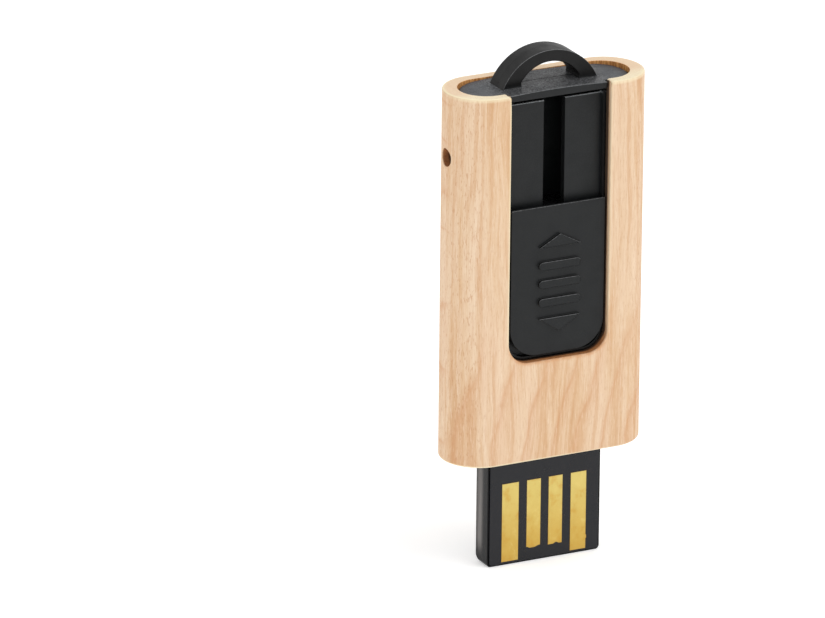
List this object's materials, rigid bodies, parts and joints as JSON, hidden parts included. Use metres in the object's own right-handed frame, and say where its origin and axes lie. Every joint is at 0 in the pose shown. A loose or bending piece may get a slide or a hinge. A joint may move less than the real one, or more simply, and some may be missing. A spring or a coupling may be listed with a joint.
{
  "type": "retractable usb flash drive",
  "caption": "Small flash drive with a wooden sleeve, a black chassis with a key ring loop, and a thumb slider that pushes a flat USB plug out of the bottom end.",
  "frame": {"origin": "centre of the plug's tip, with the plug fully out", "axes": "+Z from the plug's tip to the key ring loop; the thumb slider and the plug's contacts face -Y; +X to the right of someone who looks at the slider"},
  "size_m": [0.0196, 0.0072, 0.0488],
  "materials": {
    "maple": "sanded, unvarnished pale maple",
    "black_plastic": "fine satin texture",
    "solder_mask": "glossy black solder mask",
    "mould_compound": "matt epoxy",
    "adhesive": "thin double-sided film",
    "gold_plate": "gold plate over copper",
    "silicon": "polished silicon",
    "chip_ceramic": "fired ceramic",
    "resistor_black": "glazed resistor body"
  },
  "bodies": {
    "case": {"wooden_sleeve": "maple", "front_shell": "black_plastic", "back_shell": "black_plastic"},
    "slider": {"thumb_slider": "black_plastic", "slider_carriage": "black_plastic", "module_substrate": "solder_mask", "module_moulding": "mould_compound", "adhesive_film": "adhesive", "contact_supply": "gold_plate", "contact_data_minus": "gold_plate", "contact_data_plus": "gold_plate", "contact_ground": "gold_plate", "nand_die_lower": "silicon", "nand_die_upper": "silicon", "controller_die": "silicon", "capacitor_1": "chip_ceramic", "capacitor_2": "chip_ceramic", "capacitor_3": "chip_ceramic", "capacitor_4": "chip_ceramic", "resistor_1": "resistor_black", "resistor_2": "resistor_black"}
  },
  "joints": [
    {"name": "slider_travel", "type": "slide", "parent": "case", "child": "slider", "axis": [0, 0, 1], "range_m": [0, 0.01025]}
  ]
}
